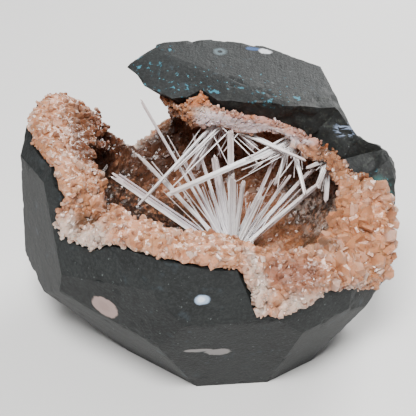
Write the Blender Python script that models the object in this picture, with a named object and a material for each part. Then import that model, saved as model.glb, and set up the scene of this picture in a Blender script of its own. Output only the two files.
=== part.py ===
# Scolecite geode: a sawn basalt nodule, broken open on a crust of heulandite crystals,
# with sprays of scolecite needles on its floor and under its roof.
# Units are metres, +Z is up, and the nodule stands on its flat sawn base at z = 0.

import math
import random

import bmesh
import bpy
import numpy as np
from mathutils import Matrix, Vector
from mathutils.geometry import tessellate_polygon

MM = 0.001

# The nodule is laid out about this point, in millimetres, then moved by LAYOUT_SHIFT
# so that the finished specimen is centred over the origin.
SAW_CENTRE = (0.0, 0.0, 44.0)
LAYOUT_SHIFT = (-0.86, -2.19, 0.0)

# Gap between neighbouring pieces that touch in the real specimen.
TOUCH_GAP = 0.3

# Saw cuts on the outside: compass angle, upward tilt (degrees) and distance (mm) from SAW_CENTRE.
# Angle 0 faces +X, 90 faces the back and 270 faces the front.
SAW_CUTS = {
    "hood_top": (298, 78, 37.5),
    "hood_front": (276, 72, 34.3),
    "hood_back_left": (166, 70, 49.6),
    "hood_back": (103, 40, 53),
    "hood_back_middle": (80, 42, 54),
    "hood_back_right": (57, 42, 55.5),
    "right_shoulder": (357, 30, 59),
    "right_side": (352, 2, 59.2),
    "right_back": (20, 8, 59.2),
    "left_top": (200, 40, 57.5),
    "left_side": (206, 2, 55),
    "left_back": (175, 3, 58.8),
    "back_left": (135, 5, 57),
    "back": (95, 5, 56),
    "back_right": (45, 5, 58),
    "front_left_upper": (232, 14, 53.5),
    "front_left_lower": (238, -8, 53),
    "front_wedge": (256, -12, 54.4),
    "front_middle": (274, 1, 54),
    "front_right": (301, 1, 55.5),
    "front_far_right": (320, -1, 58),
    "under_front": (275, -24, 51),
    "under_front_left": (233, -32, 50),
    "under_front_right": (305, -27, 55),
    "under_right": (335, -30, 57.5),
    "under_left": (195, -45, 53),
    "under_back_left": (140, -42, 53),
    "under_back": (90, -40, 52),
    "under_back_right": (40, -38, 53),
}

# What lies outside both cuts of a pair is missing from the outside: two flakes right of the
# hood, and a steeper face on the front of the hood that stops short of the front rim.
FLAKE_FLOOR = (52, 44, 39.5)
FLAKES = {
    "flake_beside_hood": {"hood_right": (358, 41, 52.5), "floor": FLAKE_FLOOR},
    "flake_behind_hood": {"hood_right_back": (16, 16, 50.5), "floor": FLAKE_FLOOR},
    "face_of_hood": {"steeper_front": (267, 67, 31.9), "behind_rim": (90, 0, -20)},
}

# The hollow is a lumpy ellipsoid.
HOLLOW_CENTRE = (0.0, 0.0, 46.0)
HOLLOW_RADII = (50.0, 48.0, 29.0)
HOLLOW_LUMP = 1.6

# Broken rim, clockwise from the tip of the hood. Each station gives a point on the outside
# of the rock, the point on the hollow's wall across the break, and how much of the broken
# face the crust hides, from 0 to 1.
RIM = [
    ((-26, 18, 86), (-12, 22, 74), 0.35),
    ((-21, 10, 84), (-11, 18, 74), 0.35),
    ((-15, 7, 83), (-8, 14, 74), 0.45),
    ((-12, 5, 82), (-7, 12, 74), 0.5),
    ((-7, 6, 83), (-6, 9, 74), 0.8),
    ((-2, 9, 83), (-1, 11, 74), 0.9),
    ((3, 5, 82), (3, 8, 74), 0.6),
    ((11, 4, 81), (10, 7, 73), 0.3),
    ((19, 4, 81), (18, 7, 72), 0.15),
    ((29, 3, 80), (27, 5, 69), 0.1),
    ((39, 4, 77), (35, 3, 66), 0.1),
    ((47, -1, 72), (41, 0, 62), 0.1),
    ((55, -1, 67), (45, -4, 57), 0.15),
    ((58, -8, 61), (46, -9, 54), 0.6),
    ((58, -15, 57), (45, -15, 52), 1.0),
    ((57, -22, 50), (44, -19, 50), 1.0),
    ((56, -24, 42), (44, -21, 47), 1.0),
    ((54, -27, 36), (42, -25, 45), 1.0),
    ((48, -33, 36), (37, -30, 46), 1.0),
    ((43, -39, 41), (33, -34, 47), 1.0),
    ((35, -44, 45), (28, -38, 49), 1.0),
    ((26, -49, 42), (22, -41, 51), 1.0),
    ((17, -53, 42), (17, -43, 52), 1.0),
    ((13, -53, 44), (14, -43, 54), 1.0),
    ((11, -53, 51), (10, -43, 57), 1.0),
    ((8, -53, 59), (6, -43, 58), 1.0),
    ((-2, -54, 60), (-2, -43, 58), 1.0),
    ((-9, -53, 62), (-8, -43, 59), 1.0),
    ((-15, -51, 62), (-14, -41, 60), 1.0),
    ((-23, -46, 61), (-20, -38, 60), 1.0),
    ((-27, -43, 60), (-24, -35, 60), 1.0),
    ((-33, -40, 56), (-29, -32, 59), 1.0),
    ((-43, -32, 55), (-36, -27, 58), 1.0),
    ((-45, -29, 60), (-38, -23, 61), 1.0),
    ((-42, -29, 67), (-38, -19, 63), 1.0),
    ((-43, -20, 71), (-40, -13, 64), 1.0),
    ((-50, -6, 69), (-42, -4, 63), 1.0),
    ((-55, 7, 70), (-42, 5, 64), 1.0),
    ((-57, 16, 70), (-42, 13, 63), 1.0),
    ((-52, 23, 70), (-40, 19, 62), 1.0),
    ((-45, 30, 64), (-37, 24, 58), 1.0),
    ((-43, 37, 48), (-35, 30, 48), 1.0),
    ((-35, 45, 35), (-29, 36, 39), 1.0),
    ((-27, 50, 32), (-22, 40, 37), 1.0),
    ((-18, 54, 36), (-15, 43, 41), 1.0),
    ((-10, 54, 44), (-9, 42, 48), 1.0),
    ((-8, 53, 58), (-8, 39, 58), 1.0),
    ((-9, 46, 72), (-8, 34, 66), 1.0),
    ((-12, 36, 84), (-8, 29, 71), 1.0),
    ((-17, 27, 88), (-9, 26, 73), 0.5),
]
OPENING_MIDDLE = (-0.35, -0.30, 0.89)
FAR = 500.0
MIDPOINT_OVER = 9.5

# The crust: its gap from the rock, its thickness on the wall, at the lip and on the ridge of
# the rim. Where the break is bare the ridge thins to the least share, and halfway up the break
# it has the middle share; the band is uneven by the rough share. Then the crust's lumps, how
# far the band reaches down the wall to join it, and the band's gap from the rock.
CRUST_GAP = 0.45
CRUST_WALL = 3.2
CRUST_LIP = 1.3
CRUST_RIDGE = 3.6
RIDGE_LEAST = 0.45
RIDGE_MIDDLE = 0.75
BAND_ROUGH = 0.3
CRUST_LUMP = 0.8
BAND_REACH = 4.0
BAND_GAP = 1.0
EASE_PASSES = 3

# Cells along a side of the cube that is blown up into a ball: for the plain wall and for the
# crystals. Then how far each blocky crystal stands out, how much narrower its flat top is than
# its foot, the shortest foot that gets one, how far one may stand out in a bend of the wall
# before it meets its neighbour, and how far the corners of the cells wander.
WALL_CELLS = 8
CELLS = 8
CRYSTAL_HEIGHT = (0.6, 2.8)
CRYSTAL_TAPER = (0.10, 0.22)
CRYSTAL_SMALLEST = 3.4
CRYSTAL_LEAN = 0.42
CRYSTAL_WANDER = 0.24
NEEDLE_CLEARANCE = 1.6

# A needle's point is this many times its thickness long, and its shank narrows by this much.
NEEDLE_POINT = 1.2
NEEDLE_TAPER = 0.92

# Sprays: the root lump (centre and radii, mm) and the needles that leave it. A needle is
# where it starts, where its tip is, and its thickness across the flats.
SPRAYS = {
    "scolecite_spray_floor": {
        "root": ((8, 0, 23), (5.5, 5.0, 4.0)),
        "needles": [
            ((8, 0, 25), (-21, 6, 81), 1.5),
            ((8, 0, 25), (-23, 0, 65), 1.6),
            ((8, 0, 25), (-31, 4, 55), 2.4),
            ((8, 0, 25), (-8, 8, 58), 0.9),
            ((8, 0, 25), (-5, 14, 64), 1.6),
            ((8, 0, 25), (2, 12, 57), 2.6),
            ((8, 0, 25), (7, 4, 71), 2.0),
            ((8, 0, 25), (8, -4, 60), 2.0),
            ((8, 0, 25), (11, -5, 58), 1.6),
            ((8, 0, 25), (17, -4, 52), 1.6),
            ((8, 0, 25), (21, 10, 55), 1.4),
            ((8, 0, 25), (27, 6, 53), 1.6),
            ((8, 0, 25), (34, 8, 54), 1.6),
            ((8, 0, 25), (37, 2, 54), 1.8),
            ((8, 0, 25), (35, 11, 53), 1.4),
        ],
    },
    "scolecite_spray_roof_left": {
        "root": ((4, 14, 69), (6.5, 4.5, 4.0)),
        "needles": [
            ((2, 12, 69), (-22, -12, 53), 1.6),
            ((3, 14, 69), (-5, 18, 49), 1.4),
            ((4, 14, 69), (-4, 18, 47), 1.4),
            ((7, 13, 69), (15, 10, 60), 1.4),
            ((7, 12, 67), (31, 0, 62), 1.6),
        ],
    },
    "scolecite_spray_roof_right": {
        "root": ((27, 11, 63), (5.0, 4.5, 4.0)),
        "needles": [
            ((27, 11, 63), (-13, -12, 57), 1.8),
            ((27, 11, 63), (17, 4, 60), 1.4),
            ((27, 11, 63), (31, -2, 50), 1.4),
            ((27, 11, 63), (22, 10, 46), 1.2),
        ],
    },
    "scolecite_spray_right": {
        "root": ((39, 8, 58), (4.5, 4.0, 4.0)),
        "needles": [
            ((39, 8, 58), (34, -9, 58), 1.6),
            ((39, 8, 58), (38, 0, 46), 1.4),
            ((39, 8, 58), (31, -3, 61), 1.2),
        ],
    },
}

COLLECTION = "scolecite_geode"


def clear_scene():
    for item in list(bpy.data.objects):
        bpy.data.objects.remove(item, do_unlink=True)


def make_collection(name, hidden=False):
    collection = bpy.data.collections.new(name)
    bpy.context.scene.collection.children.link(collection)
    collection.hide_render = hidden
    return collection


def make_material(name, color, roughness):
    material = bpy.data.materials.new(name)
    material.use_nodes = True
    shader = material.node_tree.nodes["Principled BSDF"]
    shader.inputs["Base Color"].default_value = (*color, 1.0)
    shader.inputs["Roughness"].default_value = roughness
    shader.inputs["Metallic"].default_value = 0.0
    return material


def basalt_material():
    return make_material("basalt", (0.035, 0.042, 0.040), 0.75)


def heulandite_material():
    return make_material("heulandite", (0.72, 0.42, 0.28), 0.35)


def scolecite_material():
    return make_material("scolecite", (0.84, 0.81, 0.84), 0.25)


def place(point):
    """A layout point in millimetres, as a point of the finished part in metres."""
    shifted = np.asarray(point, dtype=float) + np.array(LAYOUT_SHIFT)
    return shifted * MM


def link_mesh(name, verts, faces, collection, material=None):
    mesh = bpy.data.meshes.new(name)
    mesh.from_pydata([tuple(v) for v in verts], [], faces)
    mesh.update()
    item = bpy.data.objects.new(name, mesh)
    collection.objects.link(item)
    if material:
        mesh.materials.append(material)
    return item


def direction(angle, tilt):
    a = math.radians(angle)
    t = math.radians(tilt)
    return Vector((math.cos(t) * math.cos(a), math.cos(t) * math.sin(a), math.sin(t)))


def clipped_block(cuts, keep_inside=True):
    """A large cube, sawn along each cut. keep_inside picks the side that stays."""
    bm = bmesh.new()
    bmesh.ops.create_cube(bm, size=4 * FAR * MM)
    centre = Vector(place(SAW_CENTRE))
    planes = []
    for angle, tilt, distance in cuts.values():
        normal = direction(angle, tilt)
        point = centre + normal * distance * MM
        planes.append((point, normal if keep_inside else -normal))
    if keep_inside:
        planes.append((Vector((0, 0, 0)), Vector((0, 0, -1))))
    for point, normal in planes:
        geometry = bm.verts[:] + bm.edges[:] + bm.faces[:]
        cut = bmesh.ops.bisect_plane(bm, geom=geometry, plane_co=point, plane_no=normal, clear_outer=True)
        edges = [e for e in cut["geom_cut"] if isinstance(e, bmesh.types.BMEdge)]
        if edges:
            bmesh.ops.edgeloop_fill(bm, edges=edges)
    bmesh.ops.recalc_face_normals(bm, faces=bm.faces[:])
    return bm


def object_from_bmesh(name, bm, collection, material=None):
    mesh = bpy.data.meshes.new(name)
    bm.to_mesh(mesh)
    bm.free()
    item = bpy.data.objects.new(name, mesh)
    collection.objects.link(item)
    if material:
        mesh.materials.append(material)
    return item


def saw_radius(directions):
    """Distance from the hollow's centre to the sawn outside, along each unit direction."""
    centre = np.array(HOLLOW_CENTRE)
    nearest = np.full(len(directions), FAR)
    for angle, tilt, distance in SAW_CUTS.values():
        normal = np.array(direction(angle, tilt))
        reach = distance + normal @ (np.array(SAW_CENTRE) - centre)
        along = directions @ normal
        hit = np.where(along > 1e-6, reach / np.maximum(along, 1e-6), FAR)
        nearest = np.minimum(nearest, hit)
    return nearest


def lumps(directions, count, low, high, seed):
    """A smooth random relief over the sphere, between about -1 and 1."""
    rng = np.random.default_rng(seed)
    relief = np.zeros(len(directions))
    for _ in range(count):
        wave = rng.normal(size=3)
        wave *= rng.uniform(low, high) / np.linalg.norm(wave)
        relief += np.sin(directions @ wave + rng.uniform(0, 2 * math.pi))
    return relief / math.sqrt(count)


def hollow_radius(directions):
    """Distance from the hollow's centre to the rock wall of the hollow."""
    plain = 1.0 / np.sqrt(((directions / np.array(HOLLOW_RADII)) ** 2).sum(axis=1))
    return plain + HOLLOW_LUMP * lumps(directions, 7, 3.0, 7.0, 11)


def unit(vectors):
    return vectors / np.linalg.norm(vectors, axis=-1, keepdims=True)


def rim_columns():
    """The rim's outer and inner edge from the hollow's centre, with columns between stations."""
    outer = np.array([station[0] for station in RIM], dtype=float) - HOLLOW_CENTRE
    inner = np.array([station[1] for station in RIM], dtype=float) - HOLLOW_CENTRE
    cover = np.array([station[2] for station in RIM], dtype=float)
    rng = np.random.default_rng(5)
    wide = np.linalg.norm(outer - np.roll(outer, -1, axis=0), axis=1) > MIDPOINT_OVER
    columns = []
    for k in range(len(outer)):
        n = (k + 1) % len(outer)
        columns.append((outer[k], inner[k], cover[k]))
        if wide[k]:
            jog = rng.uniform(-0.8, 0.8, size=3)
            halfway = (outer[k] + outer[n]) / 2 + jog
            columns.append((halfway, (inner[k] + inner[n]) / 2, (cover[k] + cover[n]) / 2))
    outer_edge = unit(np.array([c[0] for c in columns]))
    inner_edge = unit(np.array([c[1] for c in columns]))
    outer_edge *= saw_radius(outer_edge)[:, None]
    inner_edge *= hollow_radius(inner_edge)[:, None]
    return outer_edge, inner_edge, np.array([c[2] for c in columns])


def ring_faces(rings, columns):
    """Triangles between rings of points, each with the same number of columns."""
    faces = []
    for i in range(rings - 1):
        n = i + 1
        for j in range(columns):
            k = (j + 1) % columns
            faces.append((i * columns + j, i * columns + k, n * columns + k))
            faces.append((i * columns + j, n * columns + k, n * columns + j))
    return faces


def layout_object(name, points, faces, collection, material=None):
    """An object from points about the hollow's centre, with its faces pointing out."""
    placed = [place(point) for point in points + np.array(HOLLOW_CENTRE)]
    item = link_mesh(name, placed, faces, collection, material)
    point_outward(item)
    return item


def make_opening_cutter(collection):
    """A cone from the hollow's centre, out through the broken rim, with a far cap."""
    outer, inner, _ = rim_columns()
    columns = len(outer)
    far = unit(outer) * FAR
    points = np.concatenate([inner, outer, far, np.zeros((1, 3))])
    apex = 3 * columns
    faces = ring_faces(3, columns)
    faces += [(j, (j + 1) % columns, apex) for j in range(columns)]
    middle = Vector(OPENING_MIDDLE).normalized()
    side = middle.orthogonal().normalized()
    up = middle.cross(side)
    flat = []
    for way in unit(outer):
        way = Vector(way)
        off = way.angle(middle)
        aim = Vector((way.dot(side), way.dot(up), 0.0)).normalized()
        flat.append(aim * off)
    faces += [tuple(2 * columns + v for v in tri) for tri in tessellate_polygon([flat])]
    return layout_object("opening_cutter", points, faces, collection)


def ball_cells(name, radius_of, collection, cells=WALL_CELLS, wander=0.0):
    """A cube blown up into a ball of square cells, at the radius given for each direction."""
    bm = bmesh.new()
    bmesh.ops.create_cube(bm, size=2.0)
    bmesh.ops.subdivide_edges(bm, edges=bm.edges[:], cuts=cells - 1, use_grid_fill=True)
    bm.verts.ensure_lookup_table()
    corners = np.array([v.co for v in bm.verts])
    corners = np.tan(corners * math.pi / 4)
    rng = np.random.default_rng(8)
    corners += rng.uniform(-wander, wander, size=corners.shape) * 2 / cells
    ways = unit(corners)
    points = ways * radius_of(ways)[:, None] + np.array(HOLLOW_CENTRE)
    for vert, point in zip(bm.verts, points):
        vert.co = place(point)
    bmesh.ops.recalc_face_normals(bm, faces=bm.faces[:])
    if not wander:
        bmesh.ops.triangulate(bm, faces=bm.faces[:])
    return object_from_bmesh(name, bm, collection)


def point_outward(item):
    bm = bmesh.new()
    bm.from_mesh(item.data)
    bmesh.ops.recalc_face_normals(bm, faces=bm.faces[:])
    if bm.calc_volume(signed=True) < 0:
        bmesh.ops.reverse_faces(bm, faces=bm.faces[:])
    bm.to_mesh(item.data)
    bm.free()


def apply_boolean(item, cutter, operation, overlapping=False, solver="EXACT"):
    modifier = item.modifiers.new(operation.lower(), "BOOLEAN")
    modifier.operation = operation
    modifier.solver = solver
    modifier.use_self = overlapping
    modifier.object = cutter
    bpy.context.view_layer.update()
    graph = bpy.context.evaluated_depsgraph_get()
    mesh = bpy.data.meshes.new_from_object(item.evaluated_get(graph))
    item.modifiers.clear()
    old = item.data
    item.data = mesh
    mesh.name = old.name
    bpy.data.meshes.remove(old)


def hide_cutter(item):
    item.hide_render = True
    item.display_type = "WIRE"


def keep_largest_body(item):
    """Merges doubles, then drops chips and closed pockets that a Boolean leaves behind."""
    bm = bmesh.new()
    bm.from_mesh(item.data)
    bmesh.ops.remove_doubles(bm, verts=bm.verts[:], dist=0.00001)
    bmesh.ops.dissolve_degenerate(bm, edges=bm.edges[:], dist=0.00001)
    bodies = []
    left = set(bm.faces)
    while left:
        seed = left.pop()
        body = {seed}
        stack = [seed]
        while stack:
            face = stack.pop()
            for edge in face.edges:
                for other in edge.link_faces:
                    if other not in body:
                        body.add(other)
                        left.discard(other)
                        stack.append(other)
        bodies.append(body)
    bodies.sort(key=len)
    spare = [face for body in bodies[:-1] for face in body]
    bmesh.ops.delete(bm, geom=spare, context="FACES")
    loose = [vert for vert in bm.verts if not vert.link_faces]
    bmesh.ops.delete(bm, geom=loose, context="VERTS")
    bmesh.ops.triangulate(bm, faces=bm.faces[:])
    bm.to_mesh(item.data)
    bm.free()


def make_basalt(collection, cutters):
    rock = object_from_bmesh("basalt_matrix", clipped_block(SAW_CUTS), collection, basalt_material())
    for name, cuts in FLAKES.items():
        flake = object_from_bmesh(name, clipped_block(cuts, False), cutters)
        apply_boolean(rock, flake, "DIFFERENCE")
        hide_cutter(flake)
    hollow = ball_cells("hollow_cutter", hollow_radius, cutters)
    opening = make_opening_cutter(cutters)
    for cutter in (hollow, opening):
        apply_boolean(rock, cutter, "DIFFERENCE")
        hide_cutter(cutter)
    keep_largest_body(rock)
    return opening


def void_radius(ways):
    """Distance from the hollow's centre to the foot of the crystals on the crust."""
    relief = lumps(ways, 12, 8.0, 20.0, 23)
    return hollow_radius(ways) - CRUST_GAP - CRUST_WALL - CRUST_LUMP * relief


def grow_crystals(item, cells, sign):
    """Turns cells into blocky crystals with a flat top, clear of the needles and each other."""
    rng = random.Random(41)
    bm = bmesh.new()
    bm.from_mesh(item.data)
    bm.faces.ensure_lookup_table()
    jobs = []
    for face in [bm.faces[k] for k in cells]:
        height = rng.uniform(*CRYSTAL_HEIGHT)
        shortest = min(edge.calc_length() for edge in face.edges) / MM
        inset = rng.uniform(*CRYSTAL_TAPER) * shortest
        centre = np.array(face.calc_center_median()) / MM - np.array(LAYOUT_SHIFT)
        room = distance_to_needles(centre) - NEEDLE_CLEARANCE
        bend = max(-sign * edge.calc_face_angle_signed(0.0) for edge in face.edges)
        if bend > 0:
            room = min(room, CRYSTAL_LEAN * inset / math.tan(bend / 2))
        if shortest > CRYSTAL_SMALLEST and room > CRYSTAL_HEIGHT[0]:
            jobs.append((face, inset * MM, sign * min(height, room) * MM))
    for face, inset, depth in jobs:
        bmesh.ops.inset_individual(bm, faces=[face], thickness=inset, depth=depth)
    bmesh.ops.triangulate(bm, faces=bm.faces[:])
    bm.to_mesh(item.data)
    bm.free()


def eased(ways):
    """Unit directions round the rim, each turned towards its two neighbours."""
    for _ in range(EASE_PASSES):
        ways = unit(2 * ways + np.roll(ways, 1, axis=0) + np.roll(ways, -1, axis=0))
    return ways


def make_rim_band(collection):
    """The crust on the break: a band that runs round the rim and reaches down the wall."""
    outer, inner, cover = rim_columns()
    columns = len(outer)
    tangent = unit(np.roll(inner, -1, axis=0) - np.roll(inner, 1, axis=0))
    off_wall = -unit(inner / np.array(HOLLOW_RADII) ** 2)
    down = unit(np.cross(tangent, off_wall))
    if (down @ unit(np.array(OPENING_MIDDLE))).sum() > 0:
        down = -down
    run = np.roll(outer, -1, axis=0) - np.roll(outer, 1, axis=0)
    off_break = unit(np.cross(outer - inner, run))
    if (off_break @ unit(np.array(OPENING_MIDDLE))).sum() < 0:
        off_break = -off_break
    snug = [off_break, unit(off_break + off_wall), off_wall]
    off_wall = eased(off_wall)
    off_break = eased(off_break)
    down = eased(down)
    off_ridge = unit(off_break + off_wall)
    low = unit(inner + BAND_REACH * down)
    low *= hollow_radius(low)[:, None]
    edge = inner + cover[:, None] * (outer - inner)
    middle = (edge + inner) / 2
    uneven = np.random.default_rng(4).uniform(-BAND_ROUGH, BAND_ROUGH, size=(3, columns))
    relief = 1 + uneven[..., None]
    ridge = CRUST_RIDGE * (RIDGE_LEAST + (1 - RIDGE_LEAST) * cover[:, None])
    rings = [
        edge + BAND_GAP * snug[0],
        inner + 2 * BAND_GAP * snug[1],
        low + 3 * BAND_GAP * off_wall,
        low + (CRUST_GAP + CRUST_WALL) * off_wall,
        inner + (CRUST_GAP + ridge * relief[0]) * off_ridge,
        middle + (CRUST_GAP + ridge * relief[1] * RIDGE_MIDDLE) * off_break,
        edge + (CRUST_GAP + CRUST_LIP * relief[2]) * off_break,
    ]
    faces = []
    for i in range(1, len(rings)):
        n = (i + 1) % len(rings)
        for j in range(columns):
            k = (j + 1) % columns
            faces.append((i * columns + j, i * columns + k, n * columns + k, n * columns + j))
    for j in range(columns):
        k = (j + 1) % columns
        faces.append((columns + j, columns + k, k))
        faces.append((columns + j, k, j))
    band = layout_object("rim_band", np.concatenate(rings), faces, collection)
    grow_crystals(band, range(3 * columns, 5 * columns), 1)
    return band


def make_crust(collection, cutters, opening):
    crust = ball_cells("heulandite_crust", lambda ways: hollow_radius(ways) - CRUST_GAP, collection)
    crust.data.materials.append(heulandite_material())
    void = ball_cells("void_cutter", void_radius, cutters, CELLS, CRYSTAL_WANDER)
    grow_crystals(void, range(len(void.data.polygons)), -1)
    band = make_rim_band(cutters)
    apply_boolean(crust, opening, "DIFFERENCE")
    apply_boolean(crust, void, "DIFFERENCE", solver="MANIFOLD")
    apply_boolean(crust, band, "UNION", solver="MANIFOLD")
    for item in (void, band):
        hide_cutter(item)
    return crust


def needle_bmesh(bm, start, tip, across, spin):
    """A four-sided prism with a blunt point, added to bm."""
    start = Vector(place(start))
    tip = Vector(place(tip))
    length = (tip - start).length
    radius = across * MM / math.sqrt(2)
    shank = length - NEEDLE_POINT * across * MM
    turn = (tip - start).to_track_quat("Z", "Y").to_matrix().to_4x4()
    matrix = Matrix.Translation(start) @ turn @ Matrix.Rotation(spin, 4, "Z")
    lift = Matrix.Translation((0, 0, shank / 2))
    made = bmesh.ops.create_cone(
        bm, cap_ends=True, segments=4, radius1=radius, radius2=radius * NEEDLE_TAPER, depth=shank, matrix=matrix @ lift)
    faces = {face for vert in made["verts"] for face in vert.link_faces}
    cap = min(faces, key=lambda face: (face.calc_center_median() - tip).length)
    cap.normal_update()
    made = bmesh.ops.poke(bm, faces=[cap])
    made["verts"][0].co = tip


def root_bmesh(bm, centre, radii, grow):
    made = bmesh.ops.create_icosphere(bm, subdivisions=2, radius=1.0)
    stretch = Matrix.Diagonal(Vector([(r + grow) * MM for r in radii] + [1.0]))
    matrix = Matrix.Translation(Vector(place(centre))) @ stretch
    bmesh.ops.transform(bm, matrix=matrix, verts=made["verts"])


def make_spray(name, spray, collection, cutters, material):
    centre, radii = spray["root"]
    bm = bmesh.new()
    root_bmesh(bm, centre, radii, 0.0)
    item = object_from_bmesh(name, bm, collection, material)
    rng = random.Random(name)
    bm = bmesh.new()
    for start, tip, across in spray["needles"]:
        needle_bmesh(bm, start, tip, across, rng.uniform(0, math.pi / 2))
    bmesh.ops.recalc_face_normals(bm, faces=bm.faces[:])
    needles = object_from_bmesh(name + "_needles", bm, cutters)
    apply_boolean(item, needles, "UNION", True)
    keep_largest_body(item)
    hide_cutter(needles)
    return item


def cut_sockets(crust, cutters):
    """Each spray's root sits in a socket in the crust."""
    for name, spray in SPRAYS.items():
        centre, radii = spray["root"]
        bm = bmesh.new()
        root_bmesh(bm, centre, radii, 2 * TOUCH_GAP)
        socket = object_from_bmesh(name + "_socket", bm, cutters)
        apply_boolean(crust, socket, "DIFFERENCE")
        hide_cutter(socket)


def distance_to_needles(point):
    nearest = FAR
    for spray in SPRAYS.values():
        centre, radii = spray["root"]
        gap = np.linalg.norm((point - np.array(centre)) / np.array(radii)) - 1
        nearest = min(nearest, gap * min(radii))
        for start, tip, across in spray["needles"]:
            a = np.array(start, dtype=float)
            b = np.array(tip, dtype=float)
            share = np.clip((point - a) @ (b - a) / ((b - a) @ (b - a)), 0, 1)
            nearest = min(nearest, np.linalg.norm(point - a - share * (b - a)) - across / 2)
    return nearest


def main():
    clear_scene()
    parts = make_collection(COLLECTION)
    cutters = make_collection("cutters", hidden=True)
    opening = make_basalt(parts, cutters)
    crust = make_crust(parts, cutters, opening)
    cut_sockets(crust, cutters)
    keep_largest_body(crust)
    needle_finish = scolecite_material()
    for name, spray in SPRAYS.items():
        make_spray(name, spray, parts, cutters, needle_finish)


main()
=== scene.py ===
# Scolecite geode: the looks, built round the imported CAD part. All places are in metres in the
# row frame; the plans below are in millimetres and are turned to metres by mm().
import math
import bpy
import bmesh
import numpy as np
from mathutils.bvhtree import BVHTree
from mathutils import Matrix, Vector


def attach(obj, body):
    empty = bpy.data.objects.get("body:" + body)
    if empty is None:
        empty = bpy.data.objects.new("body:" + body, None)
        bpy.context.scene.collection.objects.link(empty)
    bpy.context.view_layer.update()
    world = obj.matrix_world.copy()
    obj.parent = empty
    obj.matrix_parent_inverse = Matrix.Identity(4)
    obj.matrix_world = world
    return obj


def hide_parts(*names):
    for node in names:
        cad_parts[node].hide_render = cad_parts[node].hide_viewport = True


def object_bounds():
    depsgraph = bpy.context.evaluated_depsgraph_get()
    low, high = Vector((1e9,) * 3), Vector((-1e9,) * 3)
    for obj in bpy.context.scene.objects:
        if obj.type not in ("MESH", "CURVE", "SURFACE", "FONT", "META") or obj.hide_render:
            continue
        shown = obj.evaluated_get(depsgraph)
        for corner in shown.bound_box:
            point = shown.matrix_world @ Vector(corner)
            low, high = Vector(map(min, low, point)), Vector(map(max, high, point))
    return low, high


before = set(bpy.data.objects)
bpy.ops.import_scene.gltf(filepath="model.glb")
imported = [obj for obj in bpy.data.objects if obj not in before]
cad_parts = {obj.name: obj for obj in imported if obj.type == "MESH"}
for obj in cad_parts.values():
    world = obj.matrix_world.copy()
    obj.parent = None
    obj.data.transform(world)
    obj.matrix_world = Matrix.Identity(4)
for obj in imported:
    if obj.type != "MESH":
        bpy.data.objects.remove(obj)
cadBox = [list(corner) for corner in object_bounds()]

layoutShift = np.array([-0.86, -2.19, 0.0])  # the CAD plan's own shift, so both plans agree


# Plan millimetres as metres in the row frame.
def mm(point):
    return (np.asarray(point, dtype=float) + layoutShift) * 0.001


# Each row divided by its length.
def unit(ways):
    return ways / np.maximum(np.linalg.norm(ways, axis=-1, keepdims=True), 1e-12)


# Sum of many sine waves with wavelengths between finest and coarsest (mm): about -1..1.
def waves(points, count, finest, coarsest, seed):
    rng = np.random.default_rng(seed)
    total = np.zeros(len(points))
    for _ in range(count):
        way = rng.normal(size=3)
        way *= 2 * math.pi / rng.uniform(finest, coarsest) / np.linalg.norm(way)
        total += np.sin(points @ way + rng.uniform(0, 2 * math.pi))
    return total / math.sqrt(count)


# Puts points (n,3) in metres and faces (m,3 or m,4) into a mesh object at the origin.
def newMesh(name, points, faces, smooth=False):
    faces = np.asarray(faces, dtype=np.int32)
    size = faces.shape[1]
    mesh = bpy.data.meshes.new(name)
    mesh.vertices.add(len(points))
    mesh.vertices.foreach_set("co", np.asarray(points, dtype=np.float32).ravel())
    mesh.loops.add(faces.size)
    mesh.loops.foreach_set("vertex_index", faces.ravel())
    mesh.polygons.add(len(faces))
    mesh.polygons.foreach_set("loop_start", np.arange(0, faces.size, size, dtype=np.int32))
    mesh.polygons.foreach_set("use_smooth", np.full(len(faces), smooth))
    mesh.update(calc_edges=True)
    mesh.validate()
    item = bpy.data.objects.new(name, mesh)
    bpy.context.scene.collection.objects.link(item)
    return item


# Corners and their normals, each (n,3).
def readMesh(item):
    mesh = item.data
    points = np.zeros(len(mesh.vertices) * 3)
    mesh.vertices.foreach_get("co", points)
    normals = np.zeros(len(mesh.vertices) * 3)
    mesh.vertex_normals.foreach_get("vector", normals)
    return points.reshape(-1, 3), normals.reshape(-1, 3)


# The CAD node's triangles as a new mesh, with its doubled corners merged.
def mergedCopy(node, name):
    bm = bmesh.new()
    bm.from_mesh(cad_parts[node].data)
    bmesh.ops.remove_doubles(bm, verts=bm.verts[:], dist=1e-6)
    mesh = bpy.data.meshes.new(name)
    bm.to_mesh(mesh)
    bm.free()
    item = bpy.data.objects.new(name, mesh)
    bpy.context.scene.collection.objects.link(item)
    return item


# The object's mesh as its modifiers leave it.
def applyModifiers(item):
    bpy.context.view_layer.update()
    graph = bpy.context.evaluated_depsgraph_get()
    mesh = bpy.data.meshes.new_from_object(item.evaluated_get(graph))
    item.modifiers.clear()
    item.data = mesh


# Holds points inside the CAD model's box.
def keepInBox(points):
    return np.clip(points, np.array(cadBox[0]) + 2e-5, np.array(cadBox[1]) - 2e-5)


# Gives a piece its material and its body, and hides the CAD nodes that it replaces.
def finishPiece(item, material, replaced=None):
    item.data.materials.clear()
    item.data.materials.append(material)
    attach(item, "root")
    if replaced:
        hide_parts(*replaced)
    print(item.name, len(item.data.polygons), "faces")


# An sRGB hex colour as linear values.
def hexColor(code, alpha=1.0):
    values = [int(code[i:i + 2], 16) / 255 for i in (1, 3, 5)]
    return [v / 12.92 if v <= 0.04045 else ((v + 0.055) / 1.055) ** 2.4 for v in values] + [alpha]


def newMaterial(name):
    material = bpy.data.materials.new(name)
    material.use_nodes = True
    tree = material.node_tree
    return material, tree, tree.nodes["Principled BSDF"]


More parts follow.
